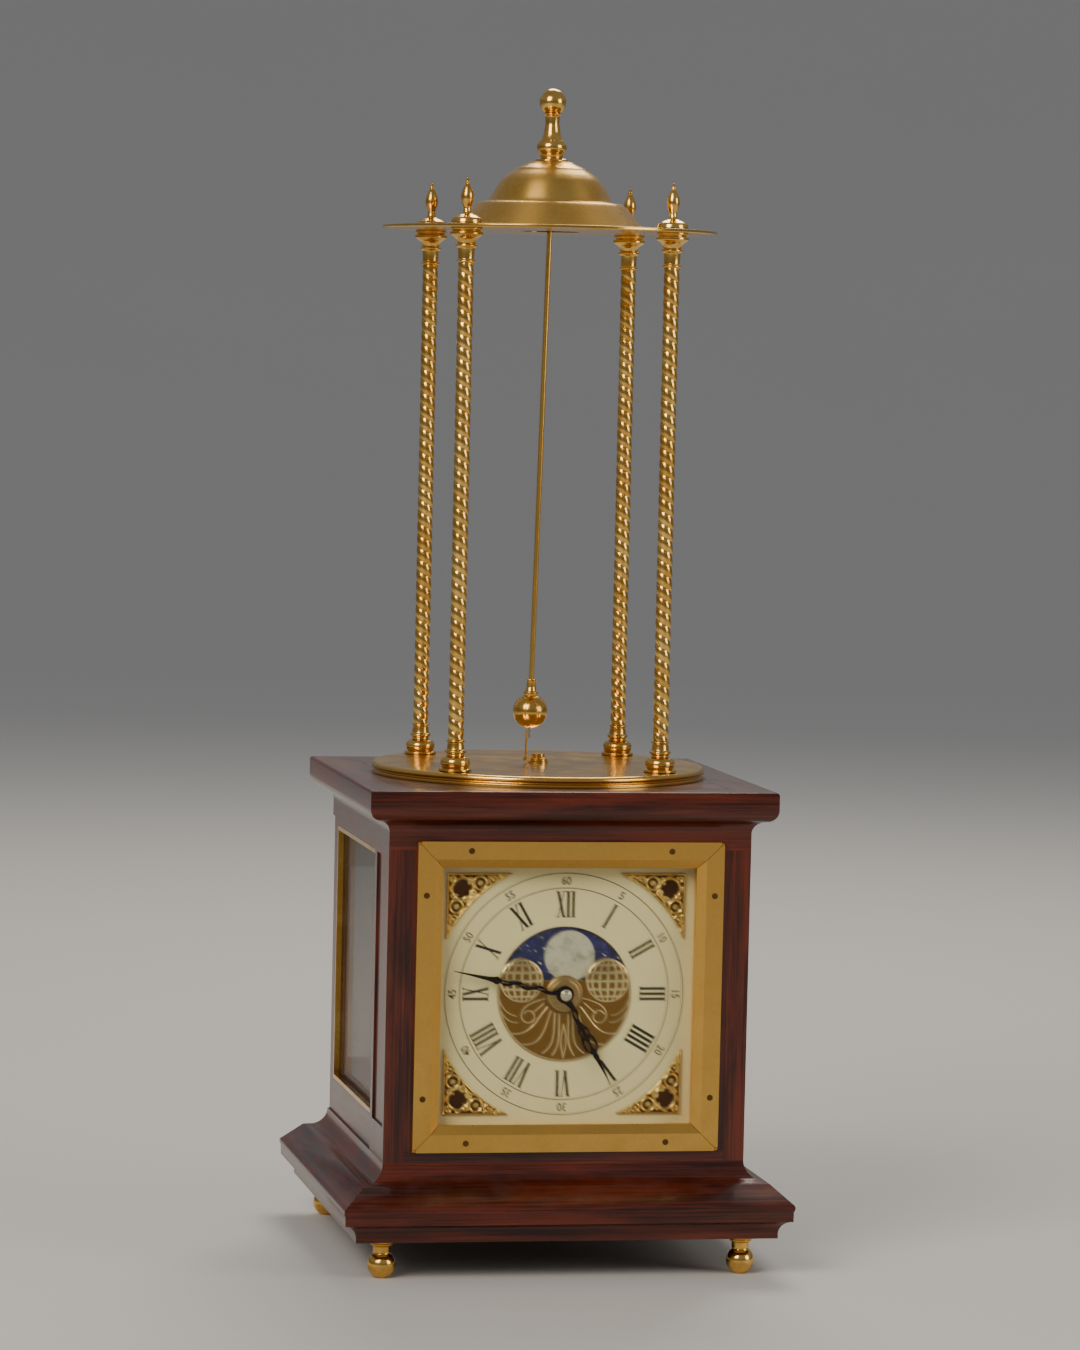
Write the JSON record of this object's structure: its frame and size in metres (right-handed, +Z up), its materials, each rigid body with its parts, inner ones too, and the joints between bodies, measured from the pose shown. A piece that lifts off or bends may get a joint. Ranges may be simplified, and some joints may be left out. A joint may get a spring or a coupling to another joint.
{
  "type": "conical pendulum clock",
  "caption": "Clock with a conical pendulum: a square mahogany case with a moon dial carries an open brass stage of twisted columns, where a ball on a rod circles under a bell dome.",
  "frame": {"origin": "middle of the square on which the feet stand", "axes": "+Z up, front of the dial towards -Y, +X to the right of someone who faces the dial"},
  "size_m": [0.257, 0.257, 0.67],
  "materials": {
    "mahogany": "polished dark red-brown mahogany",
    "plain_board": "unpolished softwood board",
    "polished_brass": "polished and lacquered brass",
    "turned_brass": "turned and polished brass",
    "movement_brass": "fine brushed brass",
    "cast_brass": "antique cast brass, bright on the high spots",
    "engraved_gilt": "engraved gilt brass",
    "cream_dial": "printed cream dial",
    "moon_paint": "painted night sky with a pale moon",
    "black_hands": "blackened serpentine hands",
    "hand_collet": "pale polished cap",
    "steel": "polished steel",
    "dark_steel": "darkened screw heads",
    "clear_glass": "clear flat glass"
  },
  "bodies": {
    "case": {"feet": "turned_brass", "plinth": "mahogany", "bottom_board": "plain_board", "case_front": "mahogany", "case_left": "mahogany", "case_right": "mahogany", "case_back": "mahogany", "cornice": "mahogany", "top_board": "mahogany", "side_glasses": "clear_glass", "side_beads": "polished_brass", "bezel": "polished_brass", "dial_glass": "clear_glass", "bezel_screws": "dark_steel", "dial_plate": "cream_dial", "centre_plate": "engraved_gilt", "spandrels": "cast_brass", "seat_board": "plain_board", "front_plate": "movement_brass", "back_plate": "movement_brass", "plate_pillars": "movement_brass", "arbor_cock": "movement_brass", "case_hinges": "polished_brass", "hinge_pins": "steel", "arbor_bush": "polished_brass", "base_disc": "polished_brass", "column_left_front": "turned_brass", "column_right_front": "turned_brass", "column_left_rear": "turned_brass", "column_right_rear": "turned_brass", "top_plate": "polished_brass", "column_finials": "turned_brass", "dome": "polished_brass", "main_finial": "turned_brass", "suspension_bush": "movement_brass"},
    "door": {"back_door": "mahogany", "door_glass": "clear_glass", "door_hinges": "polished_brass"},
    "latch": {"door_knob": "polished_brass"},
    "minute": {"minute_hand": "black_hands", "cannon_pinion": "movement_brass", "hand_nut": "hand_collet"},
    "hour": {"hour_hand": "black_hands", "hour_wheel": "movement_brass"},
    "minute_wheel": {"minute_wheel": "movement_brass"},
    "moon": {"moon_disc": "moon_paint"},
    "moon_idler": {"moon_idler": "movement_brass"},
    "winder": {"barrel_arbor": "steel"},
    "barrel": {"barrel": "movement_brass"},
    "centre": {"centre_wheel": "movement_brass"},
    "third": {"third_wheel": "movement_brass"},
    "fourth": {"fourth_wheel": "movement_brass"},
    "crown": {"crown_wheel": "movement_brass"},
    "crank": {"drive_arbor": "steel", "crank": "polished_brass"},
    "swivel": {"suspension_swivel": "steel", "swivel_pin": "steel"},
    "pendulum": {"pendulum_rod": "polished_brass", "bob": "turned_brass", "bob_spike": "steel"}
  },
  "joints": [
    {"name": "door_swing", "type": "hinge", "parent": "case", "child": "door", "pos_m": [0.0777, 0.1061, 0.1525], "axis": [0, 0, 1], "range_deg": [-105, 0]},
    {"name": "latch_turn", "type": "hinge", "parent": "door", "child": "latch", "pos_m": [-0.0684, 0.1061, 0.1525], "axis": [0, 1, 0], "range_deg": [0, 90]},
    {"name": "minute_spin", "type": "hinge", "parent": "case", "child": "minute", "pos_m": [0, 0, 0.158], "axis": [0, 1, 0], "continuous": true},
    {"name": "minute_wheel_spin", "type": "hinge", "parent": "case", "child": "minute_wheel", "pos_m": [-0.013, 0, 0.158], "axis": [0, 1, 0], "continuous": true},
    {"name": "hour_spin", "type": "hinge", "parent": "case", "child": "hour", "pos_m": [0, 0, 0.158], "axis": [0, 1, 0], "continuous": true},
    {"name": "moon_idler_spin", "type": "hinge", "parent": "case", "child": "moon_idler", "pos_m": [0, 0, 0.125], "axis": [0, 1, 0], "continuous": true},
    {"name": "moon_spin", "type": "hinge", "parent": "case", "child": "moon", "pos_m": [0, 0, 0.158], "axis": [0, 1, 0], "continuous": true},
    {"name": "winding_turn", "type": "hinge", "parent": "case", "child": "winder", "pos_m": [0, 0, 0.118], "axis": [0, 1, 0], "continuous": true},
    {"name": "crank_spin", "type": "hinge", "parent": "case", "child": "crank", "pos_m": [0, 0, 0.28], "axis": [0, 0, 1], "continuous": true},
    {"name": "crown_spin", "type": "hinge", "parent": "case", "child": "crown", "pos_m": [0, 0, 0.2], "axis": [0, 1, 0], "continuous": true},
    {"name": "fourth_spin", "type": "hinge", "parent": "case", "child": "fourth", "pos_m": [0.01881, 0, 0.1932], "axis": [0, 1, 0], "continuous": true},
    {"name": "third_spin", "type": "hinge", "parent": "case", "child": "third", "pos_m": [0.0239, 0, 0.1718], "axis": [0, 1, 0], "continuous": true},
    {"name": "centre_spin", "type": "hinge", "parent": "case", "child": "centre", "pos_m": [0, 0, 0.158], "axis": [0, 1, 0], "continuous": true},
    {"name": "barrel_spin", "type": "hinge", "parent": "case", "child": "barrel", "pos_m": [0, 0, 0.118], "axis": [0, 1, 0], "continuous": true},
    {"name": "swivel_spin", "type": "hinge", "parent": "case", "child": "swivel", "pos_m": [0, 0, 0.6], "axis": [0, 0, 1], "continuous": true},
    {"name": "pendulum_swing", "type": "hinge", "parent": "swivel", "child": "pendulum", "pos_m": [0, 0, 0.6], "axis": [0, 1, 0], "range_deg": [-2, 4]}
  ],
  "couplings": [
    {"joint": "minute_wheel_spin", "follows": "minute_spin", "ratio": -0.33333},
    {"joint": "hour_spin", "follows": "minute_spin", "ratio": 0.083333},
    {"joint": "moon_idler_spin", "follows": "minute_spin", "ratio": -0.014124},
    {"joint": "moon_spin", "follows": "minute_spin", "ratio": 0.00070621},
    {"joint": "crown_spin", "follows": "crank_spin", "ratio": 0.27778},
    {"joint": "fourth_spin", "follows": "crank_spin", "ratio": -0.030864},
    {"joint": "third_spin", "follows": "crank_spin", "ratio": 0.0030864},
    {"joint": "centre_spin", "follows": "crank_spin", "ratio": -0.00029394},
    {"joint": "barrel_spin", "follows": "crank_spin", "ratio": 0.000032661},
    {"joint": "swivel_spin", "follows": "crank_spin", "ratio": 1}
  ]
}
